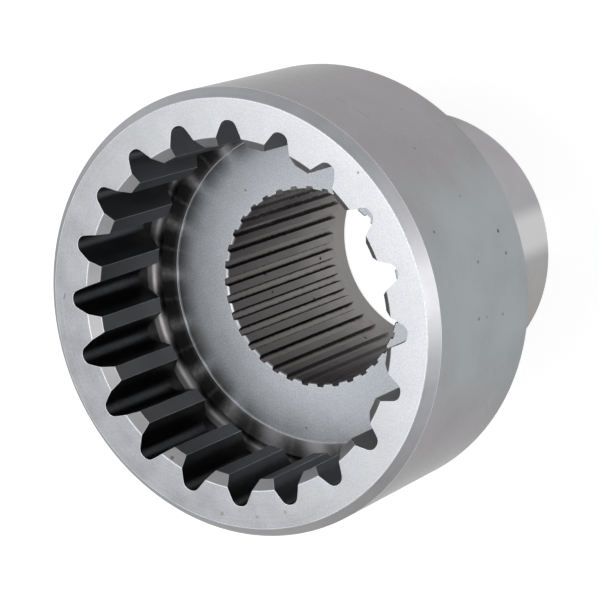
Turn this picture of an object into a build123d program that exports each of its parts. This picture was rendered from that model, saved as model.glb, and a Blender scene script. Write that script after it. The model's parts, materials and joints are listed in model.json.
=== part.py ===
from build123d import *
import os
from math import cos, radians, sin, tan

# Steel coupling sleeve turned from one bar: a drum with a coarse internal spline, and a
# narrower hub behind it with a fine internal spline. Millimetres. The sleeve stands on the
# hub's end face, which is Z = 0, with its axis on +Z and the drum's mouth at the top.

# Coarse spline in the drum
coarse_teeth = 20
coarse_module = 5.0
coarse_crest_depth = 5.55       # from the pitch circle in to the crests
coarse_root_depth = 1.62        # from the pitch circle out to the roots
coarse_space_width = 4.95       # between two teeth, on the pitch circle
coarse_flank_angle = 25.0       # a flank against the middle of its space, on the pitch circle
coarse_flank_radius = 80.0      # arch of the flanks
coarse_root_fillet = 2.4
coarse_length = 31.2
coarse_lead_chamfer = 2.6       # on the crests, at the mouth
coarse_back_chamfer = 1.0       # on the crests, at the relief groove

# Relief groove and floor of the cup
relief_width = 7.6
relief_clearance = 0.2          # groove wall outside the roots
relief_fillet = 2.9             # between the groove wall and the floor
rim_floor_width = 8.05          # raised ring of the floor, in from the groove wall
floor_step = 0.4                # height of that ring, with a slope of 45 degrees

# Fine spline in the hub
fine_notches = 35
fine_module = 25.4 / 16
fine_crest_depth = 0.78
fine_root_depth = 0.32
fine_notch_width = 2.0          # on the pitch circle
fine_flank_angle = 19.5         # a straight flank against the middle of its notch
fine_lead_chamfer = 0.45
fine_timing = 7.07              # degrees from a coarse space round to a fine notch

# Counterbore at the hub's end
counterbore_clearance = 0.64    # outside the roots of the fine spline
counterbore_depth = 9.7
counterbore_chamfer = 0.3

# Outside
drum_wall = 8.18                # outside the relief groove
drum_chamfer = 2.6
web_thickness = 12.8            # from the floor of the cup to the back of the drum
hub_wall = 10.66                # outside the counterbore
hub_length = 55.2
corner_bevel = 0.8              # left in the corner between the hub and the drum's back
edge_break = 0.3

# How far a cutter runs past the metal that it cuts
overrun = 1.0

# Radii that follow
coarse_pitch_radius = coarse_module * coarse_teeth / 2
coarse_crest_radius = coarse_pitch_radius - coarse_crest_depth
coarse_root_radius = coarse_pitch_radius + coarse_root_depth
relief_radius = coarse_root_radius + relief_clearance
floor_radius = relief_radius - rim_floor_width
fine_pitch_radius = fine_module * fine_notches / 2
fine_crest_radius = fine_pitch_radius - fine_crest_depth
fine_root_radius = fine_pitch_radius + fine_root_depth
counterbore_radius = fine_root_radius + counterbore_clearance
hub_radius = counterbore_radius + hub_wall
drum_radius = relief_radius + drum_wall

# Heights that follow
floor_height = hub_length + web_thickness
rim_floor_height = floor_height + floor_step
coarse_back_height = rim_floor_height + relief_width
mouth_height = coarse_back_height + coarse_length


def half_section():
    """The sleeve's section on one side of the axis, before either spline is cut."""
    with BuildSketch(Plane.XZ) as section:
        with BuildLine():
            Polyline(
                (counterbore_radius + counterbore_chamfer, 0),
                (hub_radius - edge_break, 0),
                (hub_radius, edge_break),
                (hub_radius, hub_length - corner_bevel),
                (hub_radius + corner_bevel, hub_length),
                (drum_radius - edge_break, hub_length),
                (drum_radius, hub_length + edge_break),
                (drum_radius, mouth_height - drum_chamfer),
                (drum_radius - drum_chamfer, mouth_height),
                (coarse_crest_radius + coarse_lead_chamfer, mouth_height),
                (coarse_crest_radius, mouth_height - coarse_lead_chamfer),
                (coarse_crest_radius, coarse_back_height + coarse_back_chamfer),
                (coarse_crest_radius + coarse_back_chamfer, coarse_back_height),
                (relief_radius, coarse_back_height),
                (relief_radius, rim_floor_height),
                (floor_radius, rim_floor_height),
                (floor_radius - floor_step, floor_height),
                (fine_crest_radius + fine_lead_chamfer, floor_height),
                (fine_crest_radius, floor_height - fine_lead_chamfer),
                (fine_crest_radius, counterbore_depth),
                (counterbore_radius, counterbore_depth),
                (counterbore_radius, counterbore_chamfer),
                close=True,
            )
        make_face()
        relief_corner = section.vertices().sort_by_distance((relief_radius, rim_floor_height))[0]
        fillet(relief_corner, relief_fillet)
    return section.sketch


def flank_point(run):
    """A point of a coarse flank, at a length of arc outside the pitch circle."""
    start = radians(coarse_flank_angle)
    bend = start + run / coarse_flank_radius
    x = coarse_pitch_radius + coarse_flank_radius * (sin(bend) - sin(start))
    y = coarse_space_width / 2 + coarse_flank_radius * (cos(bend) - cos(start))
    return (x, y)


def coarse_space():
    """The space between two coarse teeth, with its middle on +X: arched flanks, rounded root."""
    slant = cos(radians(coarse_flank_angle))
    with BuildSketch() as space:
        with BuildLine():
            upper = ThreePointArc(
                flank_point(-coarse_crest_depth / slant - overrun),
                flank_point(0),
                flank_point(coarse_root_depth / slant + overrun),
            )
            lower = mirror(upper, Plane.XZ)
            Line(upper @ 0, lower @ 0)
            Line(upper @ 1, lower @ 1)
        make_face()
        Circle(coarse_root_radius, mode=Mode.INTERSECT)
        root_corners = space.vertices().sort_by(Axis.X)[-2:]
        fillet(root_corners, coarse_root_fillet)
    return space.sketch


def fine_notch():
    """One notch of the fine spline, with its middle on +X: straight flanks, root on a circle."""
    taper = tan(radians(fine_flank_angle))
    inner = fine_crest_depth + overrun
    outer = fine_root_depth + overrun
    inner_half = fine_notch_width / 2 + inner * taper
    outer_half = fine_notch_width / 2 - outer * taper
    with BuildSketch() as notch:
        with BuildLine():
            Polyline(
                (fine_pitch_radius - inner, -inner_half),
                (fine_pitch_radius + outer, -outer_half),
                (fine_pitch_radius + outer, outer_half),
                (fine_pitch_radius - inner, inner_half),
                close=True,
            )
        make_face()
        Circle(fine_root_radius, mode=Mode.INTERSECT)
    return notch.sketch


def cutters(outline, count, first_angle, bottom, top):
    """Prisms of an outline, spaced evenly round the axis."""
    with BuildPart() as prisms:
        with BuildSketch(Plane.XY.offset(bottom)):
            with PolarLocations(0, count, start_angle=first_angle):
                add(outline)
        extrude(amount=top - bottom)
    return prisms.part


def coupling_sleeve():
    """The sleeve: its turned form less the spaces of both splines."""
    turned = revolve(half_section(), Axis.Z)
    coarse_cut = cutters(
        coarse_space(),
        coarse_teeth,
        0,
        coarse_back_height - overrun,
        mouth_height + overrun,
    )
    fine_cut = cutters(
        fine_notch(),
        fine_notches,
        fine_timing,
        counterbore_depth - overrun,
        floor_height + overrun,
    )
    sleeve = turned - coarse_cut - fine_cut
    sleeve.label = "coupling_sleeve"
    return sleeve


os.makedirs("parts", exist_ok=True)
export_step(coupling_sleeve(), "parts/coupling_sleeve.step")
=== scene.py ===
import json
from math import acos, atan2, cos, hypot, pi, radians, sin, sqrt

import bpy
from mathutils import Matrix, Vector
from bpy.props import FloatProperty, FloatVectorProperty, IntProperty, PointerProperty


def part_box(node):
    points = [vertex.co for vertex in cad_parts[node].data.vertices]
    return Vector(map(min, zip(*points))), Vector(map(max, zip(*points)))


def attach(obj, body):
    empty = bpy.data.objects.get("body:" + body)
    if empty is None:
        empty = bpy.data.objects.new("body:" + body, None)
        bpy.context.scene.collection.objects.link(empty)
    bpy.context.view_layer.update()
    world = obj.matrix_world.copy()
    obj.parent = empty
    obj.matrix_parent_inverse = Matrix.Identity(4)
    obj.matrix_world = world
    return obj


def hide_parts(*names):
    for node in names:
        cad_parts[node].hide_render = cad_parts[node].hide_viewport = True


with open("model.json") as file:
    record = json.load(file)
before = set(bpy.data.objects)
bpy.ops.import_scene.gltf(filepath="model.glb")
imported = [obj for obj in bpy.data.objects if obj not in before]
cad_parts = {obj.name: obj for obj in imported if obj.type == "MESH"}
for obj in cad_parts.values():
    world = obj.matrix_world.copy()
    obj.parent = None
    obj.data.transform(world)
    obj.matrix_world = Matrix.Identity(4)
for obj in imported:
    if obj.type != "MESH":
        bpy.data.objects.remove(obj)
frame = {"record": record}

bl_info = {
    "name": "Coupling sleeve",
    "version": (1, 0, 0),
    "blender": (4, 5, 0),
    "location": "View3D > Sidebar > Sleeve",
    "description": "A turned steel coupling sleeve with a coarse and a fine internal spline",
    "category": "Add Mesh",
}

MM = 0.001
MOUNTS = {mount["name"]: mount for mount in frame["record"]["mounts"]}
CAD_LOW, CAD_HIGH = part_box("coupling_sleeve")

# Finishes, in the order in which the mesh numbers them
FINISHES = (
    "turned_face",
    "turned_side",
    "turned_hub",
    "turned_lead_chamfer",
    "shaped_teeth",
    "turned_relief",
    "turned_ring",
    "turned_floor",
    "broached_notches",
    "fine_lands",
    "bored_counterbore",
    "broken_edges",
    "tooth_chamfers",
)
(FACE, SIDE, HUB, LEAD, TEETH, RELIEF, RING, FLOOR, NOTCHES, LANDS, COUNTERBORE, EDGES,
 TOOTH_LEAD) = range(len(FINISHES))

# Columns of the mesh in half a tooth space: root, root corner, flank, flank beside the lead chamfer, crest.
# Both splines have as many columns in all, so that they share the points of the floor and the hub's end.
COARSE_STEPS = (1, 6, 4, 1, 2)
FINE_STEPS = (1, 2, 2, 1, 2)
FILLET_STEPS = 8
WELD = 0.004 * MM

# Widths to which edges are broken: on chamfers, on fine edges, round the tooth spaces, on sharp edges
COARSE_BREAK = 0.16 * MM
FINE_BREAK = 0.08 * MM
SPACE_BREAK = 0.06 * MM
SHARP_BREAK = 0.04 * MM
BREAK_SEGMENTS = 2
SHARP_ANGLE = radians(28.0)


def mount_radius(name):
    """The radius of a round mount, in metres."""
    return MOUNTS[name]["dims"]["r_mm"] * MM


def mount_height(name):
    """The height of a mount, in metres."""
    return MOUNTS[name]["pos_m"][2]


def length(name, words, millimetres):
    """A length that a user can change."""
    return FloatProperty(name=name, description=words, default=millimetres * MM, unit="LENGTH", precision=5)


def angle(name, words, degrees):
    """An angle that a user can change."""
    return FloatProperty(name=name, description=words, default=radians(degrees), subtype="ANGLE")


class TurnedSizes(bpy.types.PropertyGroup):
    """Sizes of the turned form."""
    drum_radius: length("Drum radius", "Outside of the drum", CAD_HIGH.x / MM)
    mouth_height: length("Mouth height", "Height of the drum's face", CAD_HIGH.z / MM)
    hub_radius: length("Hub radius", "Outside of the hub", mount_radius("hub_outside") / MM)
    floor_height: length("Floor height", "Height of the cup's floor", mount_height("cup_floor") / MM)
    counterbore_radius: length("Counterbore radius", "Its wall", mount_radius("hub_counterbore") / MM)
    counterbore_depth: length("Counterbore depth", "From the hub's end to the fine spline", 9.7)
    counterbore_chamfer: length("Counterbore chamfer", "At the hub's end", 0.3)
    drum_chamfer: length("Drum chamfer", "Outside, at the mouth", 2.6)
    hub_length: length("Hub length", "From the hub's end to the back of the drum", 55.2)
    corner_bevel: length("Corner bevel", "Between the hub and the back of the drum", 0.8)
    edge_break: length("Edge break", "On the drum's back edge and the hub's end", 0.3)
    relief_radius: length("Relief radius", "Wall of the groove behind the coarse teeth", 51.82)
    relief_width: length("Relief width", "From the coarse teeth to the floor", 7.6)
    relief_fillet: length("Relief fillet", "Between the groove's wall and the floor", 2.9)
    rim_floor_width: length("Rim floor width", "Raised ring of the floor", 8.05)
    floor_step: length("Floor step", "Height of the raised ring", 0.4)


class CoarseSpline(bpy.types.PropertyGroup):
    """Sizes of the spline in the drum."""
    count: IntProperty(name="Spaces", description="Number of tooth spaces", default=20, min=3)
    pitch_radius: length("Pitch radius", "Half the pitch circle", 50.0)
    crest_depth: length("Crest depth", "From the pitch circle in to the crests", 5.55)
    root_depth: length("Root depth", "From the pitch circle out to the roots", 1.62)
    space_width: length("Space width", "Between two teeth, on the pitch circle", 4.95)
    flank_angle: angle("Flank angle", "A flank against the middle of its space", 25.0)
    flank_radius: length("Flank radius", "Arch of the flanks", 80.0)
    root_fillet: length("Root fillet", "Rounding of the root's corners", 2.4)
    lead_chamfer: length("Lead chamfer", "On the crests, at the mouth", 2.6)
    back_chamfer: length("Back chamfer", "On the crests, at the relief groove", 1.0)
    timing: angle("Timing", "Place of the first space round the axis", 0.0)


class FineSpline(bpy.types.PropertyGroup):
    """Sizes of the spline in the hub."""
    count: IntProperty(name="Notches", description="Number of notches", default=35, min=3)
    pitch_radius: length("Pitch radius", "Half the pitch circle", 27.78125)
    crest_depth: length("Crest depth", "From the pitch circle in to the lands", 0.78)
    root_depth: length("Root depth", "From the pitch circle out to the roots", 0.32)
    space_width: length("Notch width", "Between two lands, on the pitch circle", 2.0)
    flank_angle: angle("Flank angle", "A flank against the middle of its notch", 19.5)
    flank_radius: length("Flank radius", "So large that the flanks are straight", 400.0)
    root_fillet: length("Root fillet", "Rounding of the root's corners", 0.2)
    lead_chamfer: length("Lead chamfer", "On the lands, at the cup's floor", 0.45)
    back_chamfer: length("Back chamfer", "On the lands, at the counterbore", 0.0)
    timing: angle("Timing", "Place of the first notch round the axis", 7.0714)


def spline_half(sizes, steps):
    """Radius and angle of points from the middle of a space to the middle of a crest."""
    pitch, arch, fillet = sizes.pitch_radius, sizes.flank_radius, sizes.root_fillet
    root = pitch + sizes.root_depth
    crest = pitch - sizes.crest_depth

    # Centre of the arc that a flank follows
    arch_x = pitch - arch * sin(sizes.flank_angle)
    arch_y = sizes.space_width / 2 - arch * cos(sizes.flank_angle)
    arch_away = hypot(arch_x, arch_y)

    def flank_bend(radius):
        """The flank's direction where it crosses a radius."""
        reach = (radius ** 2 - arch ** 2 - arch_away ** 2) / (2 * arch * arch_away)
        bend = atan2(arch_x, arch_y) - acos(max(-1.0, min(1.0, reach)))
        return (bend + pi) % (2 * pi) - pi

    def flank_point(bend):
        """Radius and angle of the flank's point that has a direction."""
        x = arch_x + arch * sin(bend)
        y = arch_y + arch * cos(bend)
        return hypot(x, y), atan2(y, x)

    # Centre of the root corner's arc, which touches the root circle and the flank from inside
    near = root - fillet
    far = arch - fillet
    along = (arch_away ** 2 + near ** 2 - far ** 2) / (2 * arch_away)
    aside = sqrt(near ** 2 - along ** 2)
    corner_x = (arch_x * along - arch_y * aside) / arch_away
    corner_y = (arch_y * along + arch_x * aside) / arch_away
    root_turn = atan2(corner_y, corner_x)
    flank_turn = atan2(corner_y - arch_y, corner_x - arch_x)

    root_steps, corner_steps, flank_steps, lead_steps, crest_steps = steps
    half = []
    for k in range(root_steps):
        half.append((root, root_turn * k / root_steps))
    for k in range(corner_steps + 1):
        turn = root_turn + (flank_turn - root_turn) * k / corner_steps
        x = corner_x + fillet * cos(turn)
        y = corner_y + fillet * sin(turn)
        half.append((hypot(x, y), atan2(y, x)))
    start = pi / 2 - flank_turn
    lead = flank_bend(crest + sizes.lead_chamfer)
    end = flank_bend(crest)
    for k in range(1, flank_steps + 1):
        half.append(flank_point(start + (lead - start) * k / flank_steps))
    for k in range(1, lead_steps + 1):
        half.append(flank_point(lead + (end - lead) * k / lead_steps))
    crest_turn = half[-1][1]
    for k in range(1, crest_steps + 1):
        half.append((crest, crest_turn + (pi / sizes.count - crest_turn) * k / crest_steps))
    return half


def spline_row(sizes, steps):
    """Radius and angle of points over one space, from one crest's middle to the next."""
    half = spline_half(sizes, steps)
    mirrored = [(radius, -turn) for radius, turn in reversed(half[1:])]
    return mirrored + half


def even_row(sizes, steps, radius):
    """Points at one radius, spaced evenly over one space and its two half crests."""
    columns = 2 * sum(steps)
    pitch = 2 * pi / sizes.count
    return [(radius, pitch * (k / columns - 0.5)) for k in range(columns + 1)]


def ring_radius(turned):
    """The inner edge of the floor's raised ring."""
    return turned.relief_radius - turned.rim_floor_width


def one_each(value, count):
    """A list as it is, or one value as many times as needed."""
    return value if isinstance(value, list) else [value] * count


class Sector:
    """One sector of the sleeve, as rows of points with a finish between each row and the next."""

    def __init__(self, timing):
        self.timing = timing
        self.rows = []
        self.finishes = []
        self.breaks = []
        self.crest_columns = []

    def row(self, polar, height, finish=FACE, edge_break=0.0):
        """Adds a row. finish is that of the faces that lead to it, edge_break that of its own edges.
        height, finish and edge_break are one value, or a list with one for each point, face or edge."""
        points = []
        for (radius, turn), z in zip(polar, one_each(height, len(polar))):
            points.append((radius * cos(turn + self.timing), radius * sin(turn + self.timing), z))
        self.rows.append(points)
        self.finishes.append(one_each(finish, len(polar) - 1))
        self.breaks.append(one_each(edge_break, len(polar) - 1))


def sector_mesh(name, sectors):
    """One mesh of several sectors. Its faces know their finish and their sector, its edges their break."""
    points, faces, finishes, numbers, breaks = [], [], [], [], {}
    for number, sector in enumerate(sectors):
        wide = len(sector.rows[0])
        first = len(points)
        for row in sector.rows:
            points.extend(row)
        for i in range(len(sector.rows) - 1):
            for j in range(wide - 1):
                low = first + i * wide + j
                faces.append((low, low + wide, low + wide + 1, low + 1))
                finishes.append(sector.finishes[i + 1][j])
                numbers.append(number)
        for i, amounts in enumerate(sector.breaks):
            for j, amount in enumerate(amounts):
                if amount:
                    breaks[(first + i * wide + j, first + i * wide + j + 1)] = amount
        for top, bottom, column, amount in sector.crest_columns:
            low = first + bottom * wide + column
            high = first + top * wide + column
            breaks[(min(low, high), max(low, high))] = amount
    mesh = bpy.data.meshes.new(name)
    mesh.from_pydata(points, [], faces)
    finish = mesh.attributes.new("finish", "INT", "FACE")
    finish.data.foreach_set("value", finishes)
    sector_number = mesh.attributes.new("sector", "INT", "FACE")
    sector_number.data.foreach_set("value", numbers)
    weights = mesh.attributes.new("bevel_weight_edge", "FLOAT", "EDGE")
    for edge in mesh.edges:
        key = (min(edge.vertices), max(edge.vertices))
        weights.data[edge.index].value = breaks.get(key, 0.0) / COARSE_BREAK
    return mesh


def drum_sector(turned, coarse):
    """The sleeve's outside and cup over one coarse tooth space, from the floor to the hub's end."""
    sector = Sector(coarse.timing)
    outline = spline_row(coarse, COARSE_STEPS)
    crest = coarse.pitch_radius - coarse.crest_depth
    lead_radius = crest + coarse.lead_chamfer
    lead_columns = sum(COARSE_STEPS[-2:])
    back_radius = crest + coarse.back_chamfer
    rim_floor = turned.floor_height + turned.floor_step
    back = rim_floor + turned.relief_width
    ring = ring_radius(turned)

    def even(radius):
        """Points spaced evenly at a radius."""
        return even_row(coarse, COARSE_STEPS, radius)

    def under_outline(radius):
        """Points at a radius, in line with those of the tooth space."""
        return [(radius, turn) for _, turn in outline]

    # The cup, from its floor to the ends of the teeth
    sector.row(even(ring - turned.floor_step), turned.floor_height)
    sector.row(even(ring), rim_floor, FLOOR, FINE_BREAK)
    fillet_radius = turned.relief_radius - turned.relief_fillet
    for k in range(FILLET_STEPS + 1):
        turn = pi / 2 * k / FILLET_STEPS
        radius = fillet_radius + turned.relief_fillet * sin(turn)
        height = rim_floor + turned.relief_fillet * (1 - cos(turn))
        sector.row(under_outline(radius), height, RELIEF if k else RING)

    # The teeth, up to the mouth
    sector.row(under_outline(turned.relief_radius), back, TEETH)
    sector.row([(max(radius, back_radius), turn) for radius, turn in outline], back, TEETH)
    sector.row(outline, [back + max(0.0, back_radius - radius) for radius, _ in outline], TEETH)
    bottom = len(sector.rows) - 1
    top_heights = [turned.mouth_height - max(0.0, lead_radius - radius) for radius, _ in outline]
    sector.row(outline, top_heights, TEETH, COARSE_BREAK)
    for column in (COARSE_STEPS[-1], len(outline) - 1 - COARSE_STEPS[-1]):
        sector.crest_columns.append((bottom + 1, bottom, column, SHARP_BREAK))
    mouth_row = [(max(radius, lead_radius), turn) for radius, turn in outline]
    mouth_breaks = [SPACE_BREAK] * (len(outline) - 1)
    for column in range(-lead_columns, lead_columns):
        mouth_breaks[column] = COARSE_BREAK
    sector.row(mouth_row, turned.mouth_height, TOOTH_LEAD, mouth_breaks)

    # The outside, from the mouth to the hub's end
    sector.row(even(turned.drum_radius - turned.drum_chamfer), turned.mouth_height, FACE, COARSE_BREAK)
    sector.row(even(turned.drum_radius), turned.mouth_height - turned.drum_chamfer, LEAD, SHARP_BREAK)
    sector.row(even(turned.drum_radius), turned.hub_length + turned.edge_break, SIDE)
    sector.row(even(turned.drum_radius - turned.edge_break), turned.hub_length, SIDE)
    sector.row(even(turned.hub_radius + turned.corner_bevel), turned.hub_length, FACE)
    sector.row(even(turned.hub_radius), turned.hub_length - turned.corner_bevel, HUB)
    sector.row(even(turned.hub_radius), turned.edge_break, HUB)
    sector.row(even(turned.hub_radius - turned.edge_break), 0.0, HUB)
    sector.row(even(turned.counterbore_radius + turned.counterbore_chamfer), 0.0, FACE)
    return sector


def hub_sector(turned, coarse, fine):
    """The bore over one notch of the fine spline, from the hub's end up to the cup's floor."""
    sector = Sector(fine.timing)
    outline = spline_row(fine, FINE_STEPS)
    crest = fine.pitch_radius - fine.crest_depth
    lead_radius = crest + fine.lead_chamfer

    def even(radius):
        """Points spaced evenly at a radius."""
        return even_row(fine, FINE_STEPS, radius)

    sector.row(even(turned.counterbore_radius + turned.counterbore_chamfer), 0.0)
    sector.row(even(turned.counterbore_radius), turned.counterbore_chamfer, COUNTERBORE)
    sector.row(even(turned.counterbore_radius), turned.counterbore_depth, COUNTERBORE)
    sector.row(outline, turned.counterbore_depth, COUNTERBORE)
    top_heights = [turned.floor_height - max(0.0, lead_radius - radius) for radius, _ in outline]
    land = [LANDS] * FINE_STEPS[-1]
    notch = [NOTCHES] * (len(outline) - 1 - 2 * FINE_STEPS[-1])
    sector.row(outline, top_heights, land + notch + land, FINE_BREAK)
    floor_row = [(max(radius, lead_radius), turn) for radius, turn in outline]
    # The lands' lead chamfers take the pale edge finish, a painted highlight
    sector.row(floor_row, turned.floor_height, EDGES, FINE_BREAK)
    sector.row(even(ring_radius(turned) - turned.floor_step), turned.floor_height, FLOOR)
    return sector


# Node trees
class Graph:
    """Adds nodes to one tree. An input given as a socket is linked, any other value is set."""

    def __init__(self, tree):
        self.tree = tree

    def node(self, kind, inputs=None, **settings):
        """A node with its settings, which come first, and its inputs, by title or number."""
        node = self.tree.nodes.new(kind)
        for key, value in settings.items():
            setattr(node, key, value)
        for key, value in (inputs or {}).items():
            self.put(node.inputs[key], value)
        return node

    def put(self, socket, value):
        """Links or sets one input."""
        if isinstance(value, bpy.types.NodeSocket):
            self.tree.links.new(value, socket)
        else:
            socket.default_value = value

    def math(self, operation, first, second=0.0, third=0.0, clamp=False):
        """The result of a sum."""
        inputs = {0: first, 1: second, 2: third}
        return self.node("ShaderNodeMath", inputs, operation=operation, use_clamp=clamp).outputs[0]

    def vector(self, operation, first, second=(0.0, 0.0, 0.0)):
        """The result of a sum with vectors: a vector, or a number where the sum gives one."""
        node = self.node("ShaderNodeVectorMath", {0: first, 1: second}, operation=operation)
        return node.outputs[1 if operation in ("DOT_PRODUCT", "LENGTH", "DISTANCE") else 0]

    def spread(self, value, low, high, to_low=0.0, to_high=1.0, smooth=False):
        """A value between low and high, spread over another range and kept in it."""
        kind = "SMOOTHSTEP" if smooth else "LINEAR"
        inputs = {"Value": value, "From Min": low, "From Max": high, "To Min": to_low, "To Max": to_high}
        return self.node("ShaderNodeMapRange", inputs, interpolation_type=kind).outputs[0]

    def mix(self, share_of_second, first, second, blend="MIX"):
        """A mix of two colours."""
        inputs = {0: share_of_second, 6: first, 7: second}
        return self.node("ShaderNodeMix", inputs, data_type="RGBA", blend_type=blend).outputs[2]

    def noise(self, place, scale, detail=2.0, roughness=0.5):
        """Soft noise from 0 to 1."""
        inputs = {"Vector": place, "Scale": scale, "Detail": detail, "Roughness": roughness}
        return self.node("ShaderNodeTexNoise", inputs).outputs["Fac"]

    def noise_along(self, distance, scale, detail=2.0):
        """Noise that changes along one measure only."""
        inputs = {"W": distance, "Scale": scale, "Detail": detail}
        return self.node("ShaderNodeTexNoise", inputs, noise_dimensions="1D").outputs["Fac"]


def new_group(name, kind, takes, gives):
    """A new node group: its graph, what it is given and what it gives. Both are pairs of title and socket."""
    tree = bpy.data.node_groups.new(name, kind)
    for way, sockets in (("INPUT", takes), ("OUTPUT", gives)):
        for title, socket in sockets:
            tree.interface.new_socket(title, in_out=way, socket_type="NodeSocket" + socket)
    graph = Graph(tree)
    return graph, graph.node("NodeGroupInput").outputs, graph.node("NodeGroupOutput").inputs


def ring_tree():
    """Node group: copies of a sector, turned round the axis."""
    takes = (("Sector", "Geometry"), ("Count", "Int"))
    graph, given, gives = new_group("Ring of sectors", "GeometryNodeTree", takes, (("Ring", "Geometry"),))
    one_for_each = {"Count": given["Count"], "Offset": (0.0, 0.0, 0.0)}
    seats = graph.node("GeometryNodeMeshLine", one_for_each, label="One point for each sector")
    number = graph.node("GeometryNodeInputIndex").outputs[0]
    turn = graph.math("MULTIPLY", number, graph.math("DIVIDE", 2 * pi, given["Count"]))
    about = graph.node("ShaderNodeCombineXYZ", {"Z": turn}, label="Turn of each sector")
    rotation = graph.node("FunctionNodeEulerToRotation", {0: about.outputs[0]})
    placed = {"Points": seats.outputs["Mesh"], "Instance": given["Sector"], "Rotation": rotation.outputs[0]}
    copies = graph.node("GeometryNodeInstanceOnPoints", placed)
    graph.put(gives["Ring"], copies.outputs["Instances"])
    return graph.tree


def sleeve_tree(materials):
    """Node group: both rings of sectors, welded into one skin, each face with its finish."""
    takes = (("Geometry", "Geometry"), ("Coarse spaces", "Int"), ("Fine notches", "Int"),
             ("Weld distance", "Float"))
    graph, given, gives = new_group("Splined sleeve", "GeometryNodeTree", takes, (("Geometry", "Geometry"),))

    def number_of_face(name):
        """A number that the mesh keeps on each face."""
        attribute = graph.node("GeometryNodeInputNamedAttribute", {"Name": name}, data_type="INT")
        return attribute.outputs["Attribute"]

    by_sector = {"Geometry": given["Geometry"], "Selection": number_of_face("sector")}
    parted = graph.node("GeometryNodeSeparateGeometry", by_sector, domain="FACE").outputs
    one_ring = ring_tree()
    joined = graph.node("GeometryNodeJoinGeometry")
    for part, count in (("Selection", "Fine notches"), ("Inverted", "Coarse spaces")):
        ring = graph.node("GeometryNodeGroup", node_tree=one_ring)
        graph.put(ring.inputs["Sector"], parted[part])
        graph.put(ring.inputs["Count"], given[count])
        graph.put(joined.inputs[0], ring.outputs["Ring"])
    skin = graph.node("GeometryNodeRealizeInstances", {0: joined.outputs[0]}).outputs[0]
    weld = {"Geometry": skin, "Distance": given["Weld distance"]}
    skin = graph.node("GeometryNodeMergeByDistance", weld).outputs[0]
    finish = number_of_face("finish")
    for number, material in enumerate(materials):
        chosen = graph.node("FunctionNodeCompare", {2: finish, 3: number}, data_type="INT", operation="EQUAL")
        painted = {"Geometry": skin, "Selection": chosen.outputs[0], "Material": material}
        skin = graph.node("GeometryNodeSetMaterial", painted, label=FINISHES[number]).outputs[0]
    graph.put(gives["Geometry"], skin)
    return graph.tree


def set_input(modifier, name, value):
    """Sets a modifier's input by the socket's identifier."""
    for item in modifier.node_group.interface.items_tree:
        if item.item_type == "SOCKET" and item.in_out == "INPUT" and item.name == name:
            modifier[item.identifier] = value


def plain_mesh(piece):
    """Turns a piece's modifiers into a plain mesh."""
    bpy.context.view_layer.update()
    graph = bpy.context.evaluated_depsgraph_get()
    mesh = bpy.data.meshes.new_from_object(piece.evaluated_get(graph), depsgraph=graph)
    mesh.name = piece.name
    piece.modifiers.clear()
    piece.data = mesh


# Shared effects for the finishes
def shader_group(name, takes, gives):
    """A new shader node group that gives numbers."""
    return new_group(name, "ShaderNodeTree", takes, [(title, "Float") for title in gives])


def measures_group():
    """Where a point is on the sleeve: its radius, height and turn round the axis, and Across, which grows
    along every turned surface: faces, sides, chamfers and fillets."""
    titles = ("Radius", "Height", "Turn", "Across")
    graph, given, gives = shader_group("Measures", (("Place", "Vector"),), titles)
    parts = graph.node("ShaderNodeSeparateXYZ", {0: given["Place"]}).outputs
    radius = graph.vector("LENGTH", graph.vector("MULTIPLY", given["Place"], (1.0, 1.0, 0.0)))
    graph.put(gives["Radius"], radius)
    graph.put(gives["Height"], parts["Z"])
    graph.put(gives["Turn"], graph.math("ARCTAN2", parts["Y"], parts["X"]))

    # Unequal shares, so that Across also changes on a chamfer, where the radius falls as the height grows
    across = graph.math("ADD", graph.math("MULTIPLY", radius, 0.7), graph.math("MULTIPLY", parts["Z"], 1.3))
    graph.put(gives["Across"], across)
    return graph.tree


def turning_group():
    """Marks of the turning tool, about 0: fine rings, wider rings, and places where they show less."""
    takes = (("Place", "Vector"), ("Across", "Float"), ("Pitch", "Float"))
    graph, given, gives = shader_group("Turning marks", takes, ("Marks",))
    pitches = graph.math("DIVIDE", given["Across"], given["Pitch"])

    # Rings of one pitch, and fainter ones about six times as wide
    fine = graph.noise_along(pitches, 1.0)
    wide = graph.noise_along(pitches, 0.17)
    rings = graph.math("ADD", graph.math("MULTIPLY", fine, 0.6), graph.math("MULTIPLY", wide, 0.4))

    # Worn places, about 18 mm across, keep a third of them
    worn = graph.spread(graph.noise(given["Place"], 55.0), 0.35, 0.65, 0.35, 1.0)
    graph.put(gives["Marks"], graph.math("MULTIPLY", graph.math("SUBTRACT", rings, 0.5), worn))
    return graph.tree


def strokes_group():
    """Marks of a tool that cuts along the axis, about 0."""
    takes = (("Place", "Vector"), ("Pitch", "Float"))
    graph, given, gives = shader_group("Cutting strokes", takes, ("Marks",))

    # The noise is drawn out along the axis
    drawn = graph.vector("MULTIPLY", given["Place"], (1.0, 1.0, 0.03))
    scale = graph.math("DIVIDE", 1.0, given["Pitch"])
    graph.put(gives["Marks"], graph.math("SUBTRACT", graph.noise(drawn, scale, 3.0), 0.5))
    return graph.tree


def patches_group():
    """Soft patches of one size, from -0.5 to 0.5."""
    graph, given, gives = shader_group("Patches", (("Place", "Vector"), ("Size", "Float")), ("Patches",))
    noise = graph.noise(given["Place"], graph.math("DIVIDE", 1.0, given["Size"]), 3.0)
    graph.put(gives["Patches"], graph.math("SUBTRACT", graph.spread(noise, 0.25, 0.75, smooth=True), 0.5))
    return graph.tree


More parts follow.
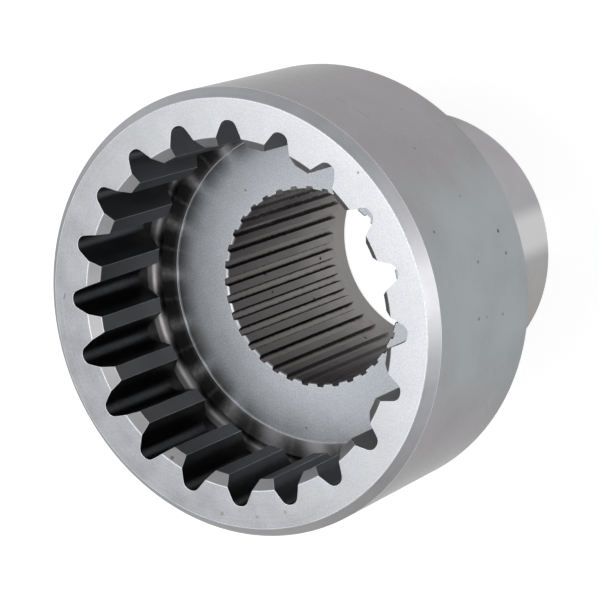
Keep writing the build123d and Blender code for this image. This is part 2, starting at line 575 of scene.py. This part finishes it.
def specks_group():
    """Small pits and dirt here and there. Share is that of the cells that have one."""
    takes = (("Place", "Vector"), ("Spacing", "Float"), ("Size", "Float"), ("Share", "Float"))
    graph, given, gives = shader_group("Specks", takes, ("Specks",))
    inputs = {"Vector": given["Place"], "Scale": graph.math("DIVIDE", 1.0, given["Spacing"])}
    cells = graph.node("ShaderNodeTexVoronoi", inputs)
    chance = graph.node("ShaderNodeSeparateColor", {0: cells.outputs["Color"]}).outputs
    has_one = graph.math("LESS_THAN", chance[0], given["Share"])
    reach = graph.math("DIVIDE", given["Size"], given["Spacing"])
    reach = graph.math("MULTIPLY", reach, graph.math("ADD", chance[1], 0.4))
    core = graph.math("MULTIPLY", reach, 0.4)
    mask = graph.spread(cells.outputs["Distance"], core, reach, 1.0, 0.0, smooth=True)
    graph.put(gives["Specks"], graph.math("MULTIPLY", mask, has_one))
    return graph.tree


def painted_shade_group():
    """Painted shade that comes back in each pitch of a spline: in the roots of the tooth spaces and notches,
    and the teeth's painted shadows and dark reflections on the floor behind them.

    Count and Timing are those of the spline. Away from the middle of a pitch, the shade comes from Near to
    Middle and goes from Middle to Far, in pitches. Along is the measure along which it comes, from End to
    Start. Side is the turn at which it is full. Away from there Clean takes it off, and towards there Wide
    spreads it."""
    titles = ("Turn", "Count", "Timing", "Near", "Middle", "Far", "Along", "End", "Start", "Side", "Clean",
              "Wide")
    takes = [("Place", "Vector")] + [(title, "Float") for title in titles]
    graph, given, gives = shader_group("Painted shade", takes, ("Painted shade",))
    turn = graph.math("SUBTRACT", given["Turn"], given["Timing"])
    pitches = graph.math("DIVIDE", graph.math("MULTIPLY", turn, given["Count"]), 2 * pi)
    away = graph.math("ABSOLUTE", graph.math("WRAP", pitches, 0.5, -0.5))

    # Fine noise makes its border ragged
    away = graph.math("ADD", away, graph.spread(graph.noise(given["Place"], 600.0), 0.3, 0.7, -0.03, 0.03))
    toward = graph.math("COSINE", graph.math("SUBTRACT", given["Turn"], given["Side"]))
    wider = graph.math("MULTIPLY", graph.spread(toward, 0.1, 0.9, smooth=True), given["Wide"])
    inner = graph.spread(away, given["Near"], given["Middle"], smooth=True)
    away = graph.math("SUBTRACT", away, wider)
    outer = graph.spread(away, given["Middle"], given["Far"], 1.0, 0.0, smooth=True)
    along = graph.spread(given["Along"], given["End"], given["Start"], smooth=True)
    mask = graph.math("MULTIPLY", graph.math("MULTIPLY", inner, outer), along)
    cleaned = graph.math("MULTIPLY", graph.spread(toward, 0.1, 0.7, 1.0, 0.0, smooth=True), given["Clean"])
    graph.put(gives["Painted shade"], graph.math("MULTIPLY", mask, graph.math("SUBTRACT", 1.0, cleaned)))
    return graph.tree


def mark_group():
    """One mark, from one point to another: a spot where both are the same, else a scratch."""
    takes = (("Place", "Vector"), ("From", "Vector"), ("To", "Vector"), ("Size", "Float"))
    graph, given, gives = shader_group("Mark", takes, ("Mask",))
    run = graph.vector("SUBTRACT", given["To"], given["From"])
    away = graph.vector("SUBTRACT", given["Place"], given["From"])
    reach = graph.vector("DOT_PRODUCT", away, run)
    along = graph.math("DIVIDE", reach, graph.vector("DOT_PRODUCT", run, run), clamp=True)
    scaled = graph.node("ShaderNodeVectorMath", {0: run, "Scale": along}, operation="SCALE").outputs[0]
    distance = graph.vector("LENGTH", graph.vector("SUBTRACT", away, scaled))
    core = graph.math("MULTIPLY", given["Size"], 0.35)
    graph.put(gives["Mask"], graph.spread(distance, core, given["Size"], 1.0, 0.0, smooth=True))
    return graph.tree


# Looks of the finishes:
# tone is the steel's colour, with painted light and shade in it: pale on the ring, the floor and the
# broken edges, dark on the teeth and in the bore. second is painted light and shade too: the tone on one
# side of the sleeve, lighter where more light falls and darker on the lead chamfer, with the turn of that
# side
# edge is how much the steel reflects at grazing angles, and rough its roughness
# turned or stroked is the depth of the tool's marks in millimetres, pitch their pitch, and shade their tint
# patch and grain tint the steel in soft patches, of patch_size in millimetres, and in fine grain
# specks is the share of the steel's small cells that have a dark speck
# fade is painted light, the lands lighter towards the hub's end: two heights in millimetres, and how much
# lighter the steel is at the second
# painted_shade is painted shade in the roots of the tooth spaces and notches and behind the teeth: along
# which measure, how strong, and the inputs of its group
LOOKS = {
    "turned_face": dict(
        tone=(0.455, 0.463, 0.477), edge=0.9, rough=0.22, turned=0.0005, pitch=0.55, shade=0.04,
        patch=0.08, patch_size=7.0, grain=0.13, specks=0.02,
    ),
    "turned_side": dict(
        tone=(0.290, 0.277, 0.285), second=((0.305, 0.327, 0.336), radians(10.0)), edge=0.70, rough=0.28,
        turned=0.0004, pitch=0.8, shade=0.04,
        patch=0.16, patch_size=24.0, grain=0.02, specks=0.01,
    ),
    "turned_hub": dict(
        tone=(0.400, 0.390, 0.385), second=((0.415, 0.405, 0.415), radians(35.0)), edge=0.60, rough=0.30,
        turned=0.0004, pitch=0.8, shade=0.04,
        patch=0.10, patch_size=14.0, grain=0.02, specks=0.005,
    ),
    "turned_lead_chamfer": dict(
        tone=(0.47, 0.47, 0.485), second=((0.390, 0.376, 0.376), radians(300.0)), edge=0.45, rough=0.37,
        turned=0.0012, pitch=0.5, shade=0.08,
        patch=0.08, patch_size=6.0, grain=0.05, specks=0.02,
    ),
    "tooth_chamfers": dict(
        tone=(0.46, 0.452, 0.455), edge=0.45, rough=0.46, turned=0.0012, pitch=0.5, shade=0.08,
        patch=0.08, patch_size=6.0, grain=0.05, specks=0.02,
    ),
    "shaped_teeth": dict(
        tone=(0.165, 0.168, 0.174), edge=0.5, rough=0.35, stroked=0.0003, pitch=0.5, shade=0.08,
        patch=0.12, patch_size=7.0, grain=0.04, specks=0.03,
        painted_shade=("Radius", 0.75, dict(
            Count=20.0, Timing=0.0, Near=-0.2, Middle=0.20, Far=0.45, End=0.0453, Start=0.0475,
            Side=radians(235.0), Clean=1.0, Wide=0.0,
        )),
    ),
    "turned_relief": dict(
        tone=(0.38, 0.369, 0.362), edge=0.7, rough=0.40, turned=0.0010, pitch=0.4, shade=0.45,
        patch=0.20, patch_size=6.0, grain=0.05, specks=0.02,
        painted_shade=("Radius", 0.85, dict(
            Count=20.0, Timing=radians(9.0), Near=-0.2, Middle=0.10, Far=0.38, End=0.038, Start=0.0455,
            Side=0.0, Clean=0.0, Wide=0.0,
        )),
    ),
    # The ring's pale tone is painted light, where the teeth shade it
    "turned_ring": dict(
        tone=(0.94, 0.92, 0.93), edge=0.9, rough=0.60, turned=0.0010, pitch=0.5, shade=0.20,
        patch=0.10, patch_size=6.0, grain=0.10, specks=0.03,
        painted_shade=("Radius", 0.92, dict(
            Count=20.0, Timing=radians(9.0), Near=-0.2, Middle=0.08, Far=0.46, End=0.0405, Start=0.0455,
            Side=radians(175.0), Clean=0.38, Wide=0.20,
        )),
    ),
    "turned_floor": dict(
        tone=(0.74, 0.768, 0.80), second=((0.83, 0.86, 0.895), radians(270.0)), edge=0.9, rough=0.64,
        turned=0.0008, pitch=0.7, shade=0.06,
        patch=0.10, patch_size=5.0, grain=0.24, specks=0.03,
        painted_shade=("Radius", 0.84, dict(
            Count=20.0, Timing=radians(9.0), Near=-0.2, Middle=0.06, Far=0.46, End=0.0370, Start=0.0458,
            Side=radians(175.0), Clean=0.90, Wide=0.14,
        )),
    ),
    "broached_notches": dict(
        tone=(0.315, 0.298, 0.297), second=((0.95, 0.90, 0.90), radians(115.0)), edge=0.35, rough=0.54,
        stroked=0.0006, pitch=0.5, shade=0.15,
        patch=0.20, patch_size=6.0, grain=0.08, specks=0.10,
        painted_shade=("Height", 0.85, dict(
            Count=35.0, Timing=radians(7.0714), Near=0.07, Middle=0.22, Far=0.36, End=0.0095, Start=0.0125,
            Side=pi, Clean=0.7, Wide=0.0,
        )),
    ),
    "fine_lands": dict(
        tone=(0.200, 0.189, 0.190), second=((0.55, 0.52, 0.52), radians(100.0)), edge=0.45, rough=0.52,
        turned=0.0010, pitch=0.6, shade=0.10,
        patch=0.25, patch_size=6.0, grain=0.08, specks=0.08, fade=(36.0, 10.0, 1.5),
    ),
    "bored_counterbore": dict(
        tone=(0.26, 0.252, 0.245), edge=0.4, rough=0.32, turned=0.0020, pitch=0.6, shade=0.18,
        patch=0.12, patch_size=8.0, grain=0.08, specks=0.05,
    ),
    # The pale tone of the broken edges and the lands' lead chamfers is a painted highlight
    "broken_edges": dict(
        tone=(0.82, 0.83, 0.85), edge=0.9, rough=0.38, turned=0.0010, pitch=0.5, shade=0.05,
        patch=0.20, patch_size=5.0, grain=0.05, specks=0.0,
    ),
}
DARK_DIRT = (0.045, 0.043, 0.042)
# Colour of the painted shade in the roots and behind the teeth
PAINTED_SHADE_COLOUR = (0.020, 0.018, 0.017)
RUST = (0.16, 0.10, 0.06)
# Colour of the painted highlight on the hub
PAINTED_HIGHLIGHT = (0.66, 0.66, 0.665)

# The same on every finish
GRAIN_SIZE = 0.45 * MM
GRAIN_DEPTH = 0.0002 * MM
SPECK_SPACING = 2.6 * MM
SPECK_SIZE = 0.4 * MM
SPECK_STRENGTH = 0.7
DIRT_ROUGHNESS = 0.4
PATCH_ROUGHNESS = 0.06
MARK_ROUGHNESS = 0.10

# How near its side, as a cosine, the second tone, painted light and shade, starts and is full, and how ragged
# its border is
SECOND_FROM = 0.72
SECOND_FULL = 1.0
SECOND_RAGGED = 0.10

# Single marks of each finish, in millimetres: from, to, size, strength, colour
BORE_MARKS = (
    ((-27.0, -1.89, 48.59), None, 1.00, 0.85, DARK_DIRT),
    ((-26.4, 8.03, 44.90), None, 0.70, 0.90, DARK_DIRT),
    ((-26.1, 8.60, 36.81), None, 0.64, 0.90, DARK_DIRT),
    ((-26.17, 7.56, 38.76), None, 0.58, 0.85, DARK_DIRT),
    ((-26.78, -3.42, 17.97), None, 0.64, 0.90, DARK_DIRT),
    ((-23.47, -13.35, 27.52), None, 0.58, 0.85, DARK_DIRT),
    ((-19.3, -18.9, 14.36), None, 0.70, 0.90, DARK_DIRT),
    ((-9.98, -25.09, 21.54), None, 0.64, 0.90, DARK_DIRT),
)
MARKS = {
    "turned_side": (
        ((56.68, 19.67, 66.22), None, 0.75, 0.90, DARK_DIRT),
        ((58.41, 13.72, 65.16), None, 0.62, 0.85, DARK_DIRT),
        ((58.28, 14.25, 80.97), None, 0.55, 0.75, DARK_DIRT),
        ((54.63, 24.82, 97.74), None, 0.55, 0.75, DARK_DIRT),
        ((51.64, 30.56, 77.71), None, 0.45, 0.50, DARK_DIRT),
        ((60.00, 0.01, 84.22), None, 0.60, 0.70, DARK_DIRT),
        ((60.00, -0.40, 79.70), None, 0.45, 0.60, DARK_DIRT),
        ((59.98, -1.50, 70.49), None, 0.52, 0.65, DARK_DIRT),
        ((21.73, 55.93, 88.93), (24.13, 54.93, 88.46), 0.22, 0.35, DARK_DIRT),
        ((26.94, 53.61, 89.25), (31.05, 51.34, 88.23), 0.22, 0.35, DARK_DIRT),
    ),
    "turned_hub": (
        # A painted highlight: a light band down the hub, where it reflects the lit floor
        ((38.62, 7.80, 0.0), (38.62, 7.80, 55.0), 8.6, 0.85, PAINTED_HIGHLIGHT),
    ),
    "turned_face": (
        ((38.38, 40.37, 107.2), None, 0.45, 0.40, DARK_DIRT),
        ((-54.61, -0.09, 107.2), (-54.21, 1.05, 107.2), 0.40, 0.45, DARK_DIRT),
        ((-5.78, -54.48, 107.2), None, 0.85, 0.40, RUST),
        ((5.25, -53.86, 107.2), None, 0.80, 0.32, RUST),
        ((14.01, -51.34, 107.2), None, 0.75, 0.28, RUST),
    ),
    "tooth_chamfers": (
        ((-21.62, -41.07, 106.57), None, 0.75, 0.85, RUST),
    ),
    "turned_floor": (
        ((-20.27, 25.58, 68.0), None, 0.40, 0.75, DARK_DIRT),
        ((-2.75, -40.12, 68.0), None, 0.40, 0.70, DARK_DIRT),
    ),
    "broached_notches": BORE_MARKS,
    "fine_lands": BORE_MARKS,
}


def steel(name, groups):
    """One finish of the sleeve's steel."""
    look = LOOKS[name]
    material = bpy.data.materials.new(name)
    material.use_nodes = True
    graph = Graph(material.node_tree)
    shader = material.node_tree.nodes["Principled BSDF"]
    place = graph.node("ShaderNodeTexCoord").outputs["Object"]

    def effect(title, **inputs):
        """The outputs of a shared effect at the shaded point."""
        node = graph.node("ShaderNodeGroup", node_tree=groups[title])
        graph.put(node.inputs["Place"], place)
        for key, value in inputs.items():
            graph.put(node.inputs[key], value)
        return node.outputs

    measures = effect("Measures")
    if "turned" in look:
        marks = effect("Turning marks", Across=measures["Across"], Pitch=look["pitch"] * MM)["Marks"]
        depth = look["turned"] * MM
    else:
        marks = effect("Cutting strokes", Pitch=look["pitch"] * MM)["Marks"]
        depth = look["stroked"] * MM
    patches = effect("Patches", Size=look["patch_size"] * MM)["Patches"]
    grain = effect("Patches", Size=GRAIN_SIZE)["Patches"]

    # Colour: the tone, with its painted light and shade, tinted by marks, patches and grain, under specks,
    # single marks, one of them a painted highlight, and painted shade
    tint = graph.math("MULTIPLY_ADD", marks, 2.0 * look["shade"], 1.0)
    tint = graph.math("MULTIPLY_ADD", patches, look["patch"], tint)
    tint = graph.math("MULTIPLY_ADD", grain, look["grain"], tint)
    # Painted light: the lands grow lighter towards the hub's end
    if "fade" in look:
        low, high, gain = look["fade"]
        fade = graph.spread(measures["Height"], low * MM, high * MM, 1.0, gain, smooth=True)
        tint = graph.math("MULTIPLY", tint, fade)
    tone = (*look["tone"], 1.0)
    # Painted light and shade: a second tone on one side of the sleeve
    if "second" in look:
        second, side = look["second"]
        toward = graph.math("COSINE", graph.math("SUBTRACT", measures["Turn"], side))
        ragged = graph.spread(graph.noise(place, 30.0), 0.3, 0.7, -SECOND_RAGGED, SECOND_RAGGED)
        near = graph.spread(graph.math("ADD", toward, ragged), SECOND_FROM, SECOND_FULL, smooth=True)
        tone = graph.mix(near, tone, (*second, 1.0))
    colour_now = graph.mix(1.0, tone, tint, "MULTIPLY")
    specks = effect("Specks", Spacing=SPECK_SPACING, Size=SPECK_SIZE, Share=look["specks"])["Specks"]
    dirt = graph.math("MULTIPLY", specks, SPECK_STRENGTH)
    colour_now = graph.mix(dirt, colour_now, (*DARK_DIRT, 1.0))
    for begin, end, size, strength, mark_colour in MARKS.get(name, ()):
        ends = [tuple(value * MM for value in point) for point in (begin, end or begin)]
        mask = effect("Mark", From=ends[0], To=ends[1], Size=size * MM)["Mask"]
        mask = graph.math("MULTIPLY", mask, strength)
        colour_now = graph.mix(mask, colour_now, (*mark_colour, 1.0))
        # The painted highlight stays bare metal, and the other marks count as dirt
        if mark_colour is not PAINTED_HIGHLIGHT:
            dirt = graph.math("MAXIMUM", dirt, mask)
    # Painted shade: darker in the roots of the tooth spaces and notches and behind the teeth
    if "painted_shade" in look:
        measure, strength, places = look["painted_shade"]
        mask = effect("Painted shade", Turn=measures["Turn"], Along=measures[measure], **places)["Painted shade"]
        colour_now = graph.mix(graph.math("MULTIPLY", mask, strength), colour_now, (*PAINTED_SHADE_COLOUR, 1.0))
    graph.put(shader.inputs["Base Color"], colour_now)

    # Dirt isn't metal, and it is matt
    graph.put(shader.inputs["Metallic"], graph.math("SUBTRACT", 1.0, dirt))
    rough = graph.math("MULTIPLY_ADD", patches, PATCH_ROUGHNESS, look["rough"])
    rough = graph.math("MULTIPLY_ADD", marks, MARK_ROUGHNESS, rough)
    graph.put(shader.inputs["Roughness"], graph.math("MULTIPLY_ADD", dirt, DIRT_ROUGHNESS, rough))
    shader.inputs["Specular Tint"].default_value = (look["edge"], look["edge"], look["edge"], 1.0)

    height = graph.math("MULTIPLY_ADD", grain, GRAIN_DEPTH, graph.math("MULTIPLY", marks, depth))
    relief = graph.node("ShaderNodeBump", {"Strength": 1.0, "Distance": 1.0, "Height": height})
    graph.put(shader.inputs["Normal"], relief.outputs["Normal"])
    return material


# Operators, panel and registration
class SLEEVE_OT_body(bpy.types.Operator):
    """Build the splined sleeve"""
    bl_idname = "sleeve.body"
    bl_label = "Splined sleeve"

    def execute(self, context):
        turned = context.scene.sleeve_turned
        coarse = context.scene.sleeve_coarse
        fine = context.scene.sleeve_fine
        sectors = [drum_sector(turned, coarse), hub_sector(turned, coarse, fine)]
        piece = bpy.data.objects.new("splined_sleeve", sector_mesh("splined_sleeve", sectors))
        context.scene.collection.objects.link(piece)
        makers = (measures_group, turning_group, strokes_group, patches_group, specks_group, painted_shade_group,
                  mark_group)
        groups = {tree.name: tree for tree in [maker() for maker in makers]}
        materials = [steel(name, groups) for name in FINISHES]
        for material in materials:
            piece.data.materials.append(material)
        nodes = piece.modifiers.new("Splined sleeve", "NODES")
        nodes.node_group = sleeve_tree(materials)
        set_input(nodes, "Coarse spaces", coarse.count)
        set_input(nodes, "Fine notches", fine.count)
        set_input(nodes, "Weld distance", WELD)
        broken = piece.modifiers.new("Broken edges", "BEVEL")
        broken.limit_method = "WEIGHT"
        broken.width = COARSE_BREAK
        broken.segments = BREAK_SEGMENTS
        # The broken edges take the pale edge finish, a painted highlight
        broken.material = EDGES
        broken.use_clamp_overlap = True
        plain_mesh(piece)
        piece.data.shade_smooth()
        piece.data.set_sharp_from_angle(angle=SHARP_ANGLE)
        shading = piece.modifiers.new("Even shading", "WEIGHTED_NORMAL")
        shading.keep_sharp = True
        plain_mesh(piece)
        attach(piece, "root")
        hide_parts("coupling_sleeve")
        return {"FINISHED"}


class StageSettings(bpy.types.PropertyGroup):
    """Camera and light."""
    lens: FloatProperty(name="Lens", description="Focal length in millimetres", default=154.707)
    shift_x: FloatProperty(name="Shift X", description="Sideways shift of the lens", default=-0.125)
    shift_y: FloatProperty(name="Shift Y", description="Upward shift of the lens", default=-0.093)
    floor_reach: length("Floor reach", "From the axis to the floor's edge", 4000.0)
    sky: FloatVectorProperty(name="Sky", description="Light from all round, a linear colour",
                             default=(0.60, 0.61, 0.63), size=3, subtype="COLOR")


# Parts of the studio's sky: azimuth, elevation, how far each reaches, fully and softly, and its level
SKY_PARTS = (
    (30.0, 72.0, 14.0, 32.0, (0.10, 0.10, 0.105)),
    (12.0, 24.0, 8.0, 48.0, (1.15, 1.15, 1.16)),
    (190.0, 75.5, 17.0, 24.0, (2.25, 2.25, 2.27)),
)

# Soft boxes: name, azimuth, elevation, distance, width, height, level
LAMPS = (
    ("low_box", 3.0, 31.5, 2.4, 1.10, 0.88, 1.80),
)

LAMPS_AIM = Vector((0.0, 0.0, 70.0 * MM))

# The camera, where the fit to the photo puts it
CAMERA_PLACE = (357.765 * MM, 146.831 * MM, 659.227 * MM)
CAMERA_TURN = (radians(-11.7589), radians(29.4615), radians(-1.3875))
SENSOR_WIDTH = 36.0

# The floor as the camera and the metal see it: its diffuse level, its glow under the bore and round it,
# and the radii between which the glow changes
FLOOR_SHADE = 0.45
FLOOR_GLOW = (0.98, 0.74)
FLOOR_GLOW_RADII = (28.0 * MM, 30.0 * MM)
FLOOR_PAPER = 0.8


def direction(azimuth, elevation):
    """A unit vector, from degrees."""
    flat = cos(radians(elevation))
    return (flat * cos(radians(azimuth)), flat * sin(radians(azimuth)), sin(radians(elevation)))


def soft_lamp(name, azimuth, elevation, distance, width, height, level):
    """A soft box that points at the sleeve. level is the brightness of its face, where 1 is white."""
    data = bpy.data.lights.new(name, "AREA")
    data.shape = "RECTANGLE"
    data.size = width
    data.size_y = height
    data.energy = level * pi * width * height
    lamp = bpy.data.objects.new(name, data)
    lamp.location = LAMPS_AIM + Vector(direction(azimuth, elevation)) * distance
    lamp.rotation_euler = (LAMPS_AIM - lamp.location).to_track_quat("-Z", "Y").to_euler()
    bpy.context.scene.collection.objects.link(lamp)
    return lamp


def studio_world(settings):
    """Soft light from all round, with a dark part above the camera and a bright one below it."""
    world = bpy.data.worlds.new("studio")
    world.use_nodes = True
    world.node_tree.nodes.clear()
    graph = Graph(world.node_tree)
    toward = graph.node("ShaderNodeTexCoord").outputs["Generated"]
    level = (*settings.sky, 1.0)
    for azimuth, elevation, wide, soft, part_level in SKY_PARTS:
        nearness = graph.vector("DOT_PRODUCT", toward, direction(azimuth, elevation))
        mask = graph.spread(nearness, cos(radians(soft)), cos(radians(wide)), smooth=True)
        level = graph.mix(mask, level, (*part_level, 1.0))
    light = graph.node("ShaderNodeBackground", {"Color": level, "Strength": 1.0})
    graph.node("ShaderNodeOutputWorld", {"Surface": light.outputs[0]})
    return world


def white_floor():
    """A pale floor. The camera and the metal see it white, with the sleeve's faint shadow round it."""
    material = bpy.data.materials.new("white_floor")
    material.use_nodes = True
    material.node_tree.nodes.clear()
    graph = Graph(material.node_tree)
    path = graph.node("ShaderNodeLightPath")
    seen = graph.math("MAXIMUM", path.outputs["Is Camera Ray"], path.outputs["Is Glossy Ray"])
    seen = graph.math("MAXIMUM", seen, path.outputs["Is Transmission Ray"])
    paper = graph.node("ShaderNodeBsdfDiffuse", {"Color": (FLOOR_PAPER,) * 3 + (1.0,)})
    shade = graph.node("ShaderNodeBsdfDiffuse", {"Color": (FLOOR_SHADE,) * 3 + (1.0,)})
    radius = graph.vector("LENGTH", graph.node("ShaderNodeTexCoord").outputs["Object"])
    strength = graph.spread(radius, *FLOOR_GLOW_RADII, *FLOOR_GLOW)
    glow = graph.node("ShaderNodeEmission", {"Color": (1.0, 1.0, 1.0, 1.0), "Strength": strength})
    white = graph.node("ShaderNodeAddShader", {0: shade.outputs[0], 1: glow.outputs[0]})
    both = graph.node("ShaderNodeMixShader", {0: seen, 1: paper.outputs[0], 2: white.outputs[0]})
    graph.node("ShaderNodeOutputMaterial", {"Surface": both.outputs[0]})
    return material


class SLEEVE_OT_stage(bpy.types.Operator):
    """Set the floor, the light and the camera"""
    bl_idname = "sleeve.stage"
    bl_label = "Stage"

    def execute(self, context):
        scene = context.scene
        settings = scene.sleeve_stage
        mesh = bpy.data.meshes.new("floor")
        reach = settings.floor_reach
        corners = [(-reach, -reach, 0.0), (reach, -reach, 0.0), (reach, reach, 0.0), (-reach, reach, 0.0)]
        mesh.from_pydata(corners, [], [(0, 1, 2, 3)])
        mesh.materials.append(white_floor())
        floor = bpy.data.objects.new("floor", mesh)
        scene.collection.objects.link(floor)
        scene.world = studio_world(settings)
        for lamp in LAMPS:
            soft_lamp(*lamp)
        camera = bpy.data.objects.new("camera", bpy.data.cameras.new("camera"))
        scene.collection.objects.link(camera)
        camera.data.lens = settings.lens
        camera.data.sensor_width = SENSOR_WIDTH
        camera.data.shift_x = settings.shift_x
        camera.data.shift_y = settings.shift_y
        camera.location = CAMERA_PLACE
        camera.rotation_euler = CAMERA_TURN
        scene.camera = camera
        scene.view_settings.view_transform = "Standard"
        return {"FINISHED"}


class SLEEVE_PT_panel(bpy.types.Panel):
    """The sleeve's tools in the sidebar"""
    bl_idname = "SLEEVE_PT_panel"
    bl_label = "Coupling sleeve"
    bl_space_type = "VIEW_3D"
    bl_region_type = "UI"
    bl_category = "Sleeve"

    def draw(self, context):
        self.layout.operator(SLEEVE_OT_body.bl_idname)
        self.layout.operator(SLEEVE_OT_stage.bl_idname)


CLASSES = (TurnedSizes, CoarseSpline, FineSpline, StageSettings, SLEEVE_OT_body, SLEEVE_OT_stage,
           SLEEVE_PT_panel)


def register():
    """Registers the classes and the scene's settings."""
    for item in CLASSES:
        bpy.utils.register_class(item)
    bpy.types.Scene.sleeve_turned = PointerProperty(type=TurnedSizes)
    bpy.types.Scene.sleeve_coarse = PointerProperty(type=CoarseSpline)
    bpy.types.Scene.sleeve_fine = PointerProperty(type=FineSpline)
    bpy.types.Scene.sleeve_stage = PointerProperty(type=StageSettings)


def unregister():
    """Takes both away again."""
    del bpy.types.Scene.sleeve_turned
    del bpy.types.Scene.sleeve_coarse
    del bpy.types.Scene.sleeve_fine
    del bpy.types.Scene.sleeve_stage
    for item in reversed(CLASSES):
        bpy.utils.unregister_class(item)


def main():
    """Builds the sleeve and its stage."""
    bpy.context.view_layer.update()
    register()
    bpy.ops.sleeve.body()
    bpy.ops.sleeve.stage()


if __name__ == "__main__":
    main()
